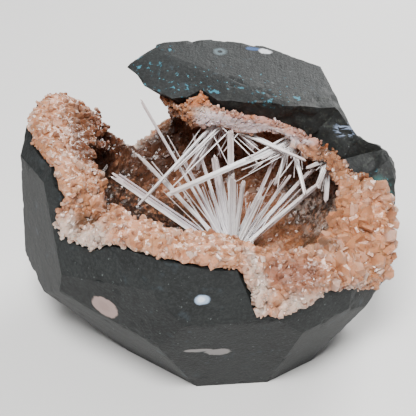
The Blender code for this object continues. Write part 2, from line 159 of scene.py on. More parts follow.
# Adds a node: settings are its properties, inputs its sockets' values or links.
def addNode(tree, kind, inputs=None, **settings):
    node = tree.nodes.new("ShaderNode" + kind)
    for key, value in settings.items():
        setattr(node, key, value)
    for key, value in (inputs or {}).items():
        if isinstance(value, bpy.types.NodeSocket):
            tree.links.new(value, node.inputs[key])
        else:
            node.inputs[key].default_value = value
    return node


# Lays colours one over another. Each layer covers the last by its amount x a smooth step
# through noise of its size (mm), x a smooth step through an attribute, x nearness to its spots.
# A spot is an ellipsoid (centre, radii in plan mm): fade is how soft its edge is, and ragged is
# how far the wobble, noise of wobble's size and reach, bends that edge. Stretch turns and
# scales the noise.
def layColors(tree, base, layers, wobble):
    where = addNode(tree, "TexCoord").outputs["Object"]
    size, reach = wobble
    uneven = {"Vector": where, "Scale": 1000 / size, "Detail": 4.0, "Roughness": 0.62}
    bend = addNode(tree, "TexNoise", uneven).outputs["Fac"]
    limits = {"Value": bend, "From Min": 0.2, "From Max": 0.8, "To Min": -reach, "To Max": reach}
    bend = addNode(tree, "MapRange", limits).outputs["Result"]
    color = hexColor(base)
    for layer in layers:
        shares = []
        if "noise" in layer:
            size, detail, rough, low, high = layer["noise"]
            place = where
            if "stretch" in layer:
                turn, scale = layer["stretch"]
                turned = {"Vector": where, "Rotation": turn, "Scale": scale}
                place = addNode(tree, "Mapping", turned).outputs[0]
            settings = {"Vector": place, "Scale": 1000 / size, "Detail": detail, "Roughness": rough}
            grain = addNode(tree, "TexNoise", settings).outputs["Fac"]
            step = {"Value": grain, "From Min": low, "From Max": high}
            shares.append(addNode(tree, "MapRange", step, interpolation_type="SMOOTHSTEP").outputs["Result"])
        if "attribute" in layer:
            name, low, high = layer["attribute"]
            value = addNode(tree, "Attribute", attribute_name=name, attribute_type="GEOMETRY").outputs["Fac"]
            step = {"Value": value, "From Min": low, "From Max": high}
            shares.append(addNode(tree, "MapRange", step, interpolation_type="SMOOTHSTEP").outputs["Result"])
        near = None
        for centre, radii in layer.get("spots", []):
            ends = {0: where, 1: list(mm(centre))}
            away = addNode(tree, "VectorMath", ends, operation="SUBTRACT").outputs[0]
            scale = [1000 / r for r in radii]
            away = addNode(tree, "VectorMath", {0: away, 1: scale}, operation="MULTIPLY").outputs[0]
            away = addNode(tree, "VectorMath", {0: away}, operation="LENGTH").outputs["Value"]
            rim = {0: bend, 1: layer.get("ragged", 1.0), 2: away}
            away = addNode(tree, "Math", rim, operation="MULTIPLY_ADD").outputs[0]
            fade = layer.get("fade", 0.4)
            step = {"Value": away, "From Min": 1 + fade, "From Max": 1 - fade}
            spot = addNode(tree, "MapRange", step, interpolation_type="SMOOTHSTEP").outputs["Result"]
            if near is not None:
                spot = addNode(tree, "Math", {0: near, 1: spot}, operation="MAXIMUM").outputs[0]
            near = spot
        if near is not None:
            shares.append(near)
        cover = layer["amount"]
        for share in shares:
            cover = addNode(tree, "Math", {0: cover, 1: share}, operation="MULTIPLY").outputs[0]
        mixed = addNode(tree, "Mix", {0: cover, 6: color, 7: hexColor(layer["color"])}, data_type="RGBA")
        color = mixed.outputs[2]
    return where, color


spotEdge = {"none": 1.4, "width": 0.8}  # in radii of a spot


# Nearness (0..1) of plan points to spots: it is 0 from 1.4 radii out, rises evenly over the
# width of the edge, and is 1 inside that.
def nearness(plan, spots):
    near = np.zeros(len(plan))
    for centre, radii in spots:
        away = np.linalg.norm((plan - mm(centre) * 1000) / np.array(radii), axis=1)
        near = np.maximum(near, np.clip((spotEdge["none"] - away) / spotEdge["width"], 0, 1))
    return near


# Basalt: fine-grained lava, sawn into facets and knocked at the edges; that gives dark, matt,
# even faces with crisp edges, tiny paler grains, and teal celadonite specks beside the crust.
# Spots where the stone is broken (more relief) and where painted shade darkens it: the hood's front and the
# right end block.
basaltBrokenAndShaded = [((30, 3, 75), (30, 9, 11)), ((54, -6, 61), (10, 14, 12))]
basaltLayers = [
    {"color": "#1a1d1d", "amount": 0.8, "noise": (16.0, 3.0, 0.55, 0.35, 0.65)},
    # real grain is 0.1-0.3 mm, drawn coarser here so that it shows
    {"color": "#2b2f2f", "amount": 0.55, "noise": (0.9, 3.0, 0.7, 0.42, 0.66)},
    {"color": "#090b0b", "amount": 0.7, "noise": (1.1, 3.0, 0.7, 0.46, 0.32)},
    {"color": "#767d7d", "amount": 0.45, "noise": (1.3, 2.0, 0.6, 0.68, 0.76)},
    {"color": "#3f4d56", "amount": 0.35, "noise": (5.0, 4.0, 0.6, 0.60, 0.74)},
    {"color": "#121413", "amount": 0.6, "spots": basaltBrokenAndShaded, "fade": 0.35},  # painted shade on the hood's front and on the right end block, where the stone is broken
    {"color": "#3b3f39", "amount": 0.5, "spots": basaltBrokenAndShaded, "noise": (1.6, 4.0, 0.7, 0.52, 0.66)},
    # teal specks, 0.5-1.5 mm: along the edge between the hood's facets, and beside the crust
    {"color": "#35788a", "amount": 0.8, "noise": (1.7, 3.0, 0.6, 0.60, 0.66), "fade": 0.5,
     "spots": [((-22, 18, 87), (7, 6, 4)), ((-9, 7, 83), (9, 5, 3)), ((5, 7, 83), (9, 4, 3)),
               ((-15, 25, 88), (5, 4, 3)), ((20, 6, 82), (12, 3, 3))]},
    {"color": "#4a93a5", "amount": 0.75, "noise": (1.5, 3.0, 0.6, 0.64, 0.69), "fade": 0.4,
     "spots": [((2, 13, 85), (26, 5, 4)), ((54, -9, 60), (3, 5, 4))]},
    {"color": "#2f6f6b", "amount": 0.8, "noise": (2.6, 4.0, 0.6, 0.45, 0.6),
     "spots": [((53, -11, 58), (4, 5, 5))]},
    # amygdales: old gas bubbles, filled with pale minerals and sawn through; colour only
    {"color": "#a08a84", "amount": 0.92, "fade": 0.09, "ragged": 0.35,
     "spots": [((-30.6, -42.9, 37.5), (4.5, 4.5, 4.0)), ((50, 30, 36), (4.4, 5, 2.6))]},
    {"color": "#8d7772", "amount": 0.6, "spots": [((-30.6, -42.9, 37.5), (2.6, 3.0, 2.2))], "fade": 0.4},
    {"color": "#9fb3cc", "amount": 0.95, "fade": 0.22, "ragged": 0.3,
     "spots": [((-1.7, -54.2, 49.1), (2.1, 4.0, 1.7)), ((24, 42, 74), (2.0, 4, 2.0))]},
    {"color": "#dfe6ee", "amount": 0.8, "spots": [((-1.9, -54.2, 49.3), (1.0, 4.0, 0.9))], "fade": 0.4},
    {"color": "#8c8886", "amount": 0.9, "fade": 0.12, "ragged": 0.5,
     "spots": [((3.2, -46.4, 23.0), (3.8, 6.0, 1.9)), ((-3.0, -47.6, 24.6), (4.2, 6.0, 0.9)),
               ((20, 52, 40), (4.0, 6, 3.0)), ((-38, 40, 30), (3.0, 5, 4.4))]},
    # on top of the hood: a white and a blue filling, and a pale ring round a black spot of painted shade that
    # stands for a hole
    {"color": "#dcdfe3", "amount": 0.8, "fade": 0.25, "ragged": 1.3,
     "spots": [((18.6, 29.0, 86.2), (2.2, 1.1, 3.0))]},
    {"color": "#2c4f7e", "amount": 0.8, "fade": 0.3, "ragged": 0.6,
     "spots": [((14.6, 29.6, 86.6), (2.2, 0.9, 3.0))]},
    {"color": "#6c7f86", "amount": 0.5, "fade": 0.35, "ragged": 0.5,
     "spots": [((3.9, 26.6, 87.0), (1.9, 1.7, 3.0))]},
    # painted shade: the dark inside of a hole that the stone's shape does not have
    {"color": "#0c0e0f", "amount": 0.95, "fade": 0.3, "ragged": 0.4,
     "spots": [((3.9, 26.6, 87.0), (0.8, 0.7, 3.0))]},
    # a bluish-white fan of fine needles flat in the broken wall, and pale slivers low on the left
    {"color": "#9fb0cd", "amount": 0.6, "noise": (1.0, 2.0, 0.5, 0.50, 0.58), "fade": 0.3, "ragged": 0.7,
     "stretch": ((0.0, 0.9, 0.0), (0.25, 1.0, 1.6)), "spots": [((42.5, 3, 71.5), (3.0, 4.0, 2.0))]},
    {"color": "#a8aca8", "amount": 0.8, "fade": 0.3, "ragged": 0.9,
     "spots": [((-54.5, -19.5, 37), (0.8, 2.6, 2.2)), ((-43, -30, 22), (2.2, 2.4, 0.9))]},
]


def makeBasaltMaterial():
    material, tree, shader = newMaterial("sawnBasalt")
    where, color = layColors(tree, "#0c0e0e", basaltLayers, (2.6, 0.45))
    tree.links.new(color, shader.inputs["Base Color"])
    shader.inputs["IOR"].default_value = 1.55
    shader.inputs["Roughness"].default_value = 0.62
    shader.inputs["Specular IOR Level"].default_value = 0.28
    # saw marks 0.7 mm wide and eight times as long, over grains of 0.9 mm
    sawn = {"Vector": where, "Rotation": (0.3, 0.2, 0.6), "Scale": (1.0, 0.12, 1.0)}
    marks = {"Vector": addNode(tree, "Mapping", sawn).outputs[0], "Scale": 1400.0, "Detail": 2.0}
    grains = {"Vector": where, "Scale": 1100.0, "Detail": 3.0, "Roughness": 0.7}
    scratch = addNode(tree, "TexNoise", marks).outputs["Fac"]
    grain = addNode(tree, "TexNoise", grains).outputs["Fac"]
    relief = addNode(tree, "Math", {0: scratch, 1: 0.35, 2: grain}, operation="MULTIPLY_ADD").outputs[0]
    bump = addNode(tree, "Bump", {"Height": relief, "Distance": 0.0003, "Strength": 0.6})
    tree.links.new(bump.outputs[0], shader.inputs["Normal"])
    return material


# Lengths in mm, sharp in degrees; each relief is its height and its finest and coarsest wave.
basaltPlan = {"longest": 1.9, "passes": 9, "sharp": 7.0, "level": 0.75,
              "grit": (0.035, 2.2, 6.0), "broken": (0.5, 3.5, 12.0), "chip": (0.55, 2.0, 9.0),
              "pits": 220, "pitSize": (0.6, 1.6), "pitDepth": 0.30, "base": 0.4}


# The CAD stone with its long edges halved until all are short, so that facets stay crisp. Each
# point moves along its normal: sine waves (more on the break), round pits, and chipped edges.
def makeBasalt():
    item = mergedCopy("basalt_matrix", "basaltStone")
    bm = bmesh.new()
    bm.from_mesh(item.data)
    for _ in range(basaltPlan["passes"]):
        long = [e for e in bm.edges if e.calc_length() > basaltPlan["longest"] * 0.001]
        if not long:
            break
        bmesh.ops.subdivide_edges(bm, edges=long, cuts=1)
        bmesh.ops.triangulate(bm, faces=[f for f in bm.faces if len(f.verts) > 3])
    sharp = math.radians(basaltPlan["sharp"])
    crest = np.zeros(len(bm.verts), dtype=bool)
    bm.verts.index_update()
    for edge in bm.edges:
        angle = edge.calc_face_angle_signed(0.0)
        edge.smooth = abs(angle) < sharp
        if angle > sharp:
            crest[[v.index for v in edge.verts]] = True
    bm.to_mesh(item.data)
    bm.free()
    points, normals = readMesh(item)
    plan = points * 1000
    height, finest, coarsest = basaltPlan["grit"]
    push = height * waves(plan, 24, finest, coarsest, 2)
    height, finest, coarsest = basaltPlan["broken"]
    wall = nearness(plan, basaltBrokenAndShaded) * (normals[:, 2] < basaltPlan["level"])
    push += height * wall * waves(plan, 30, finest, coarsest, 4)
    rng = np.random.default_rng(3)
    centres = plan[rng.integers(0, len(plan), basaltPlan["pits"])]
    sizes = rng.uniform(*basaltPlan["pitSize"], size=len(centres))
    for centre, size in zip(centres, sizes):
        away = np.linalg.norm(plan - centre, axis=1) / size
        push -= basaltPlan["pitDepth"] * size * np.clip(1 - away ** 2, 0, None)
    height, finest, coarsest = basaltPlan["chip"]
    chips = np.clip(waves(plan, 20, finest, coarsest, 5), 0, 1.5) * rng.uniform(0.4, 1.0, len(plan))
    push -= height * crest * chips
    push[(plan[:, 2] < basaltPlan["base"]) & (normals[:, 2] < -0.5)] = 0.0  # the base stays flat
    moved = keepInBox(points + normals * push[:, None] * 0.001)
    item.data.vertices.foreach_set("co", moved.astype(np.float32).ravel())
    item.data.polygons.foreach_set("use_smooth", np.full(len(item.data.polygons), True))
    item.data.update()
    finishPiece(item, makeBasaltMaterial(), ["basalt_matrix"])


# Heulandite: blocky zeolite crystals grown crowded on the stone, glassy with pearly tops; that gives a sugary
# salmon crust, white along the rim, and nearly black where it is only a thin druse. Painted shade darkens the
# blocks' feet between them, makes the deep hollow darker orange-brown, and darkens the back-left wall, the
# inside under the horn, and patches between the large blocks at the right.
darkSpots = [((-30, 14, 33), (17, 19, 10)), ((-15, 16, 26), (14, 15, 7)), ((-38, -4, 42), (9, 16, 9)),
             ((36, 16, 36), (11, 14, 11)), ((43, 10, 45), (8, 10, 8)), ((38, 5, 66), (7, 6, 4))]
whiteSpots = [((-43, -32, 57), (8, 8, 5)), ((-32, -40, 58), (9, 6, 6)), ((-20, -47, 60), (8, 5, 3)),
              ((12, -49, 57), (3, 6, 5)), ((14, -51, 50), (4, 5, 8)), ((24, -48, 44), (10, 5, 4)),
              ((40, -41, 41), (8, 5, 4)), ((2, 3, 77), (6, 5, 4)), ((-25, 46, 37), (10, 8, 4))]
brownSpots = [((-36, -29, 58), (5, 4, 4)), ((37, -30, 47), (6, 5, 4)), ((-2, 8, 80), (2, 3, 2)),
              ((14, -36, 50), (5, 4, 4)), ((-37, 22, 46), (6, 12, 9)), ((30, 6, 30), (10, 10, 5)),
              ((12, -20, 29), (8, 6, 5))]
bigSpots = [((46, -20, 48), (13, 15, 13)), ((36, -34, 46), (9, 8, 6))]
thinSpots = [((20, 8, 75), (46, 9, 9)), ((-14, 14, 77), (14, 12, 8)), ((-52, 8, 69), (10, 24, 6)),
             ((-8, 42, 62), (7, 14, 20))]
heulanditeLayers = [
    {"color": "#a0704f", "amount": 0.8, "noise": (9.0, 3.0, 0.6, 0.60, 0.40)},
    {"color": "#955a38", "amount": 0.6, "noise": (3.2, 4.0, 0.65, 0.45, 0.30)},
    {"color": "#e6cfc0", "amount": 0.6, "noise": (2.4, 4.0, 0.65, 0.56, 0.70)},
    {"color": "#8c5636", "amount": 0.55, "noise": (6.5, 3.0, 0.6, 0.54, 0.66)},
    # painted shade: the deep hollow darker orange-brown
    {"color": "#80513a", "amount": 0.75, "spots": [((-4, 12, 44), (42, 34, 24))], "fade": 0.3},
    {"color": "#c3b7ad", "amount": 0.65, "spots": whiteSpots, "fade": 0.45},
    {"color": "#7a4a2a", "amount": 0.75, "spots": brownSpots, "fade": 0.4},
    {"color": "#cf8f66", "amount": 0.6, "spots": bigSpots, "fade": 0.4},
    # painted shade: the crust inside the hollow under the horn darker
    {"color": "#5a3523", "amount": 0.85, "fade": 0.5,
     "spots": [((-40, 13, 67), (6.5, 12, 5)), ((-39, -2, 66.5), (5.5, 9, 4.5)), ((-36, 20, 58), (9, 13, 8)),
               ((-35, 30, 52), (10, 8, 10)), ((-34, -18, 60), (4, 8, 4))]},
    {"color": "#8f5a3b", "amount": 0.7, "noise": (5.0, 3.0, 0.6, 0.34, 0.56), "fade": 0.5,
     "spots": [((-49, 3, 71.5), (6, 20, 5)), ((26, -40, 45), (12, 8, 8))]},
    # painted shade: the back-left wall of the hollow nearly black-brown
    {"color": "#341c12", "amount": 0.88, "fade": 0.5,
     "spots": [((-24, 38, 41), (19, 10, 11)), ((-38, 22, 45), (9, 15, 11)), ((-12, 36, 52), (9, 10, 9))]},
    {"color": "#7d5345", "amount": 0.72, "spots": [((23, -44.5, 51), (11, 5.5, 5))], "fade": 0.5},
    {"color": "#4d3624", "amount": 0.8, "fade": 0.5,
     "spots": [((-35.8, -31.5, 58.3), (4.8, 3.4, 3.6)), ((33, -31, 50.5), (6, 3.5, 4)),
               ((35, -3, 32), (7, 7, 6)), ((16, -38, 48), (4, 3, 3))]},
    # painted shade: darker patches between the large blocks at the right
    {"color": "#8a5638", "amount": 0.6, "spots": bigSpots, "noise": (4.5, 3.0, 0.6, 0.54, 0.66)},
    {"color": "#2a1f19", "amount": 0.94, "spots": darkSpots, "fade": 0.4,
     "noise": (1.6, 3.0, 0.7, 0.34, 0.50)},
    {"color": "#cdb8a6", "amount": 0.6, "spots": darkSpots, "noise": (1.3, 3.0, 0.7, 0.60, 0.70)},
    {"color": "#a8968b", "amount": 0.75, "noise": (2.2, 4.0, 0.7, 0.44, 0.60),
     "spots": [((38, 15, 37), (12, 14, 10))]},
    # under the hood's edge: a clear whitish roof, and a thin orange line above it
    {"color": "#d3c4c6", "amount": 0.8, "fade": 0.35,
     "spots": [((5, 8, 74), (10, 8, 3.6)), ((17, 7, 72), (10, 8, 3.6)), ((30, 6, 69.5), (9, 8, 3.4))]},
    {"color": "#b3683a", "amount": 0.6, "fade": 0.35,
     "spots": [((-1, 6.5, 80), (5, 5, 1.8)), ((4, 5, 78), (4, 5, 1.0)), ((8.5, 5, 76), (4, 5, 1.0)),
               ((13.2, 5, 75), (4, 5, 0.9)), ((18, 5.5, 73.5), (4, 5, 0.9)), ((22.7, 5, 72.2), (4, 5, 0.9)),
               ((27.4, 4, 70.6), (4, 5, 1.0)), ((32, 3.5, 69.8), (4, 5, 1.5)), ((37, 2, 68.5), (4, 6, 2.5)),
               ((-16, 10, 81), (7, 8, 5))]},
]
# The crystals take the skin's first four layers, a paler and a darker layer by each block's tint, a lighter
# layer of painted shade for the hollow, the skin's other layers, and painted shade at each block's foot.
crystalLayers = heulanditeLayers[:4] + [
    {"color": "#f0e2d8", "amount": 0.38, "attribute": ("tint", 0.62, 1.0)},
    {"color": "#a06444", "amount": 0.4, "attribute": ("tint", 0.40, 0.0)},
    # painted shade: the deep hollow darker, less so than on the skin
    {"color": "#8a5638", "amount": 0.62, "spots": [((-4, 12, 44), (42, 34, 24))], "fade": 0.3},
] + heulanditeLayers[5:] + [
    # painted shade: each block darker towards its foot, between the blocks
    {"color": "#74432a", "amount": 0.7, "attribute": ("rise", 0.6, 0.0)},
]


def makeHeulanditeMaterial(name, base, layers, clear):
    material, tree, shader = newMaterial(name)
    where, color = layColors(tree, base, layers, (5.0, 0.5))
    tree.links.new(color, shader.inputs["Base Color"])
    shader.inputs["IOR"].default_value = 1.50
    shader.inputs["Roughness"].default_value = 0.30
    shader.inputs["Subsurface Weight"].default_value = 0.4
    shader.inputs["Subsurface Radius"].default_value = (1.0, 0.55, 0.35)
    shader.inputs["Subsurface Scale"].default_value = 0.0010
    shader.inputs["Transmission Weight"].default_value = clear
    specks = {"Vector": where, "Scale": 900.0, "Detail": 3.0, "Roughness": 0.7}  # 1.1 mm
    speck = addNode(tree, "TexNoise", specks).outputs["Fac"]
    bump = addNode(tree, "Bump", {"Height": speck, "Distance": 0.0003, "Strength": 0.45})
    tree.links.new(bump.outputs[0], shader.inputs["Normal"])
    return material


# Lengths in mm but for voxel (metres); thinLump is the share of lump lost on thin spots.
crustPlan = {"voxel": 0.0011, "swell": 0.45, "lump": 0.40, "waves": (1.8, 5.0), "thinLump": 0.6}
# Where the photo shows the crust thinner than its solid: centre, radii, the side that it faces
# and the depth that it is drawn in by, in mm.
slimSpots = [((-36, 22, 62), (11, 16, 10), (0.7, 0.0, 0.7), 3.0),
             ((-10, 44, 60), (7, 12, 18), (-0.85, -0.4, 0.3), 2.0),
             ((-12, 20, 74), (9, 12, 8), (-0.85, -0.4, 0.3), 2.2)]


# How far (mm) the crust is drawn in: each spot's depth x nearness x how much a face looks its way.
def slimming(plan, normals):
    pull = np.zeros(len(plan))
    for centre, radii, side, depth in slimSpots:
        facing = np.clip(normals @ np.array(side) * 2.5, 0, 1)
        pull = np.maximum(pull, depth * nearness(plan, [(centre, radii)]) * facing)
    return pull


# The CAD crust remeshed fine; each point moves out along its normal by an even swell, which
# closes the gap to the stone, and by sine waves.
def makeCrustSkin():
    item = mergedCopy("heulandite_crust", "heulanditeCrust")
    remesh = item.modifiers.new("fine", "REMESH")
    remesh.mode = "VOXEL"
    remesh.voxel_size = crustPlan["voxel"]
    applyModifiers(item)
    points, normals = readMesh(item)
    plan = points * 1000
    lump = crustPlan["lump"] * (1 - crustPlan["thinLump"] * nearness(plan, thinSpots))
    push = crustPlan["swell"] + lump * waves(plan, 30, *crustPlan["waves"], 7)
    push -= slimming(plan, normals)
    moved = keepInBox(points + normals * push[:, None] * 0.001)
    item.data.vertices.foreach_set("co", moved.astype(np.float32).ravel())
    item.data.update()
    material = makeHeulanditeMaterial("heulanditeDruse", "#b98567", heulanditeLayers, 0.0)
    finishPiece(item, material, ["heulandite_crust"])


# A CAD node's triangles, ready for rays.
def treeOf(node):
    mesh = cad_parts[node].data
    corners = [tuple(v.co) for v in mesh.vertices]
    return BVHTree.FromPolygons(corners, [tuple(p.vertices) for p in mesh.polygons])


buried = {"depth": 0.0032, "start": 2e-5, "least": 1e-9}  # metres, and square metres for least


# Corners, normals and areas of the crust's faces that look into the open: a face is left out if
# a ray along its normal meets the stone within the depth.
def crustFaces():
    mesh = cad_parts["heulandite_crust"].data
    corners = np.zeros(len(mesh.vertices) * 3)
    mesh.vertices.foreach_get("co", corners)
    corners = corners.reshape(-1, 3)
    index = np.array([tuple(p.vertices) for p in mesh.polygons])
    three = corners[index]
    across = np.cross(three[:, 1] - three[:, 0], three[:, 2] - three[:, 0])
    area = np.linalg.norm(across, axis=1) / 2
    normal = unit(across)
    middle = three.mean(axis=1)
    rock = treeOf("basalt_matrix")
    free = np.ones(len(middle), dtype=bool)
    for k in range(len(middle)):
        start = Vector(middle[k] + normal[k] * buried["start"])
        found = rock.ray_cast(start, Vector(normal[k]), buried["depth"])
        free[k] = found[0] is None
    free &= area > buried["least"]
    return three[free], normal[free], area[free]


# Turns (n,3,3) whose third column is ways, rolled round it by spin.
def frameOf(ways, spin):
    helper = np.where(np.abs(ways[:, 2:3]) < 0.9, np.array([[0.0, 0, 1]]), np.array([[1.0, 0, 0]]))
    side = unit(np.cross(helper, ways))
    other = np.cross(ways, side)
    c, s = np.cos(spin)[:, None], np.sin(spin)[:, None]
    return np.stack([side * c + other * s, other * c - side * s, ways], axis=2)


# A closed coffin-shaped block: a foot, a wider shoulder, and a narrow top; four corners each.
def blockShape():
    square = np.array([(-1, -1), (1, -1), (1, 1), (-1, 1)], dtype=float) / 2
    plan = (((0.85, 0.85), -0.5), ((1.0, 1.0), 0.45), ((0.68, 0.34), 1.0))
    corners = np.concatenate([np.c_[square * size, np.full(4, height)] for size, height in plan])
    faces = [(0, 3, 2, 1), (8, 9, 10, 11)]
    for low in (0, 4):
        faces += [(low + j, low + (j + 1) % 4, low + 4 + (j + 1) % 4, low + 4 + j) for j in range(4)]
    return corners, np.array(faces)


# Size is width and height in mm, tilt is how far a block leans (radians, about), and clear is
# the room in mm that is left round the needles.
crystalPlans = {
    "crustCrystalsFine": {"count": 9700, "size": (1.15, 0.85), "largest": 2.2, "tilt": 0.5, "seed": 21,
                          "clear": 0.7},
    "crustCrystalsBold": {"count": 2300, "size": (1.9, 1.25), "largest": 2.9, "tilt": 0.45, "seed": 22,
                          "clear": 1.4},
    "crustCrystalsRight": {"count": 230, "size": (3.0, 2.0), "largest": 4.6, "tilt": 0.40, "seed": 23,
                           "clear": 2.2, "only": bigSpots},
}
# Rules for all three: sparse and dense change how many stand on a spot, bigger and smaller
# their size; then a block's depth for its width, its spreads of size and slant, and its least
# height in mm.
crystalRules = {"sparseDark": 0.55, "denseThin": 0.8, "bigger": 0.35, "smallerThin": 0.25, "smallerDark": 0.4,
                "slender": 0.72, "uneven": 0.30, "slant": 0.12, "lowest": 0.3}


# Crystals at random places on faces: turned with the face, tilted, and scaled one by one;
# bigger at the right, smaller on dark druse and at the thin edges, sparser on dark druse. A
# point is its place in blockShape, slanted, x its block's size, turned, plus the block's spot.
def scatterBlocks(name, material, faces, plan, needles):
    three, normal, area = faces
    rng = np.random.default_rng(plan["seed"])
    middle = three.mean(axis=1) * 1000
    weight = area * (1 - crystalRules["sparseDark"] * nearness(middle, darkSpots))
    weight = weight * (1 + crystalRules["denseThin"] * nearness(middle, thinSpots))
    if "only" in plan:
        weight = weight * nearness(middle, plan["only"])
    pick = rng.choice(len(area), size=plan["count"], p=weight / weight.sum())
    a, b = rng.random((2, plan["count"]))
    fold = a + b > 1
    a[fold], b[fold] = 1 - a[fold], 1 - b[fold]
    corner = three[pick]
    along, across = corner[:, 1] - corner[:, 0], corner[:, 2] - corner[:, 0]
    spot = corner[:, 0] + a[:, None] * along + b[:, None] * across
    room = clearOf(spot * 1000, needles)
    keep = room > plan["clear"]
    spot, pick, room = spot[keep], pick[keep], room[keep]
    count = len(spot)
    spot = spot - normal[pick] * slimming(spot * 1000, normal[pick])[:, None] * 0.001
    way = unit(normal[pick] + rng.normal(0, plan["tilt"], (count, 3)))
    turn = frameOf(way, rng.uniform(0, 2 * math.pi, count))
    where = spot * 1000
    zone = 1 + crystalRules["bigger"] * nearness(where, bigSpots)
    zone = zone - crystalRules["smallerThin"] * nearness(where, thinSpots)
    zone = zone - crystalRules["smallerDark"] * nearness(where, darkSpots)
    width, height = plan["size"]
    sides = np.array([width, width * crystalRules["slender"], height])
    size = np.exp(rng.normal(0, crystalRules["uneven"], (count, 3))) * zone[:, None] * sides * 0.001
    size = np.minimum(size, plan["largest"] * 0.001)
    tallest = np.maximum(room - plan["clear"] * 0.5, crystalRules["lowest"])
    size[:, 2] = np.minimum(size[:, 2], tallest * 0.001)
    corners, quads = blockShape()
    body = np.repeat(corners[None], count, axis=0)
    body[:, :, :2] += rng.normal(0, crystalRules["slant"], (count, 1, 2)) * corners[None, :, 2:3]
    body *= size[:, None, :]
    points = np.einsum("nij,nkj->nki", turn, body) + spot[:, None, :]
    index = quads[None] + (np.arange(count) * len(corners))[:, None, None]
    item = newMesh(name, keepInBox(points.reshape(-1, 3)), index.reshape(-1, 4))
    tint = item.data.attributes.new("tint", "FLOAT", "POINT")
    tint.data.foreach_set("value", np.repeat(rng.random(count), len(corners)).astype(np.float32))
    rise = item.data.attributes.new("rise", "FLOAT", "POINT")
    rise.data.foreach_set("value", np.tile(np.clip(corners[:, 2], 0, 1), count).astype(np.float32))
    finishPiece(item, material)


# Scolecite: thin colourless needles grown in parallel bundles; each scatters a little light, so a bundle
# looks silky white, and browner where it is thin. Painted shade makes needles that end further back in the
# hollow darker and lavender-grey.
scoleciteLayers = [
    # painted shade: white by tint, which is lower for needles that end further back
    {"color": "#ffffff", "amount": 1.0, "attribute": ("tint", 0.2, 0.75)},
    {"color": "#c9bfc9", "amount": 0.20, "noise": (3.0, 3.0, 0.6, 0.46, 0.66)},
    {"color": "#a98f88", "amount": 0.6, "attribute": ("along", 0.45, 1.0)},
    # painted shade: lavender-grey on needles that end further back
    {"color": "#a4959c", "amount": 0.35, "attribute": ("tint", 0.25, 0.0)},
]


def makeScoleciteMaterial():
    material, tree, shader = newMaterial("scoleciteNeedle")
    where, color = layColors(tree, "#d8d0d6", scoleciteLayers, (3.0, 0.4))
    tree.links.new(color, shader.inputs["Base Color"])
    shader.inputs["IOR"].default_value = 1.52
    shader.inputs["Roughness"].default_value = 0.24
    shader.inputs["Transmission Weight"].default_value = 0.05
    shader.inputs["Subsurface Weight"].default_value = 0.10
    shader.inputs["Subsurface Radius"].default_value = (1.0, 0.95, 1.0)
    shader.inputs["Subsurface Scale"].default_value = 0.0008
    grain = addNode(tree, "TexNoise", {"Vector": where, "Scale": 1400.0, "Detail": 2.0}).outputs["Fac"]
    bump = addNode(tree, "Bump", {"Height": grain, "Distance": 0.0002, "Strength": 0.3})
    tree.links.new(bump.outputs[0], shader.inputs["Normal"])
    return material


# Tips and thicknesses of the needles that rise from the floor, left to right.
floorTips = [((-21, 6, 81), 1.5), ((-23, 0, 65), 1.6), ((-31, 4, 55), 2.4), ((-8, 8, 58), 0.9),
             ((-5, 14, 64), 1.6), ((2, 12, 57), 2.6), ((7, 4, 71), 2.0), ((8, -4, 60), 2.0),
             ((11, -5, 58), 1.6), ((17, -4, 52), 1.6), ((21, 10, 55), 1.4), ((27, 6, 53), 1.6),
             ((34, 8, 54), 1.6), ((37, 2, 54), 1.8), ((35, 11, 53), 1.4)]
# Every spray: its piece, the CAD needles (start, tip, thickness) and its extra fine needles.
sprays = {
    "scolecite_spray_floor": {
        "piece": "needlesFloor", "fine": 64, "spread": 2.2,
        "needles": [((8, 0, 25), tip, across) for tip, across in floorTips]},
    "scolecite_spray_roof_left": {
        "piece": "needlesRoofLeft", "fine": 30, "spread": 2.4,
        "needles": [((2, 12, 69), (-22, -12, 53), 1.1), ((3, 14, 69), (-5, 18, 49), 1.2),
                    ((4, 14, 69), (-4, 18, 47), 1.4), ((7, 13, 69), (15, 10, 60), 1.4),
                    ((7, 12, 67), (31, 0, 62), 1.3)]},
    "scolecite_spray_roof_right": {
        "piece": "needlesRoofRight", "fine": 30, "spread": 2.0,
        "needles": [((27, 11, 63), (-13, -12, 57), 1.3), ((27, 11, 63), (17, 4, 60), 1.4),
                    ((27, 11, 63), (31, -2, 50), 1.4), ((27, 11, 63), (22, 10, 46), 1.2)]},
    "scolecite_spray_right": {
        "piece": "needlesRight", "fine": 16, "spread": 1.6,
        "needles": [((39, 8, 58), (34, -9, 58), 1.6), ((39, 8, 58), (38, 0, 46), 1.4),
                    ((39, 8, 58), (31, -3, 61), 1.2)]},
}
# Thicknesses in mm; perMm is how many needles a sheaf has for each mm of its thickness. Front and
# paintedShadePerMm give painted shade: how pale a needle is by how far back (mm) it ends; mottled is the
# spread of it.
needlePlan = {"sides": 5, "flat": 0.72, "point": 0.7, "thick": (0.50, 1.05), "perMm": 4.2,
              "fineThick": (0.26, 0.62), "front": 0.85, "paintedShadePerMm": 0.030, "mottled": 0.24,
              "uneven": 0.045, "lean": (-0.15, 0.10), "foot": 1.2, "fineLength": (0.45, 0.92)}


# Distance in mm from each point to the side of the nearest CAD needle, its foot left out.
def clearOf(plan, needles):
    nearest = np.full(len(plan), 1e9)
    for start, tip, across in needles:
        a, b = mm(start) * 1000, mm(tip) * 1000
        share = np.clip((plan - a) @ (b - a) / ((b - a) @ (b - a)), 0.15, 1)
        away = np.linalg.norm(plan - a - share[:, None] * (b - a), axis=1)
        nearest = np.minimum(nearest, away - across / 2)
    return nearest


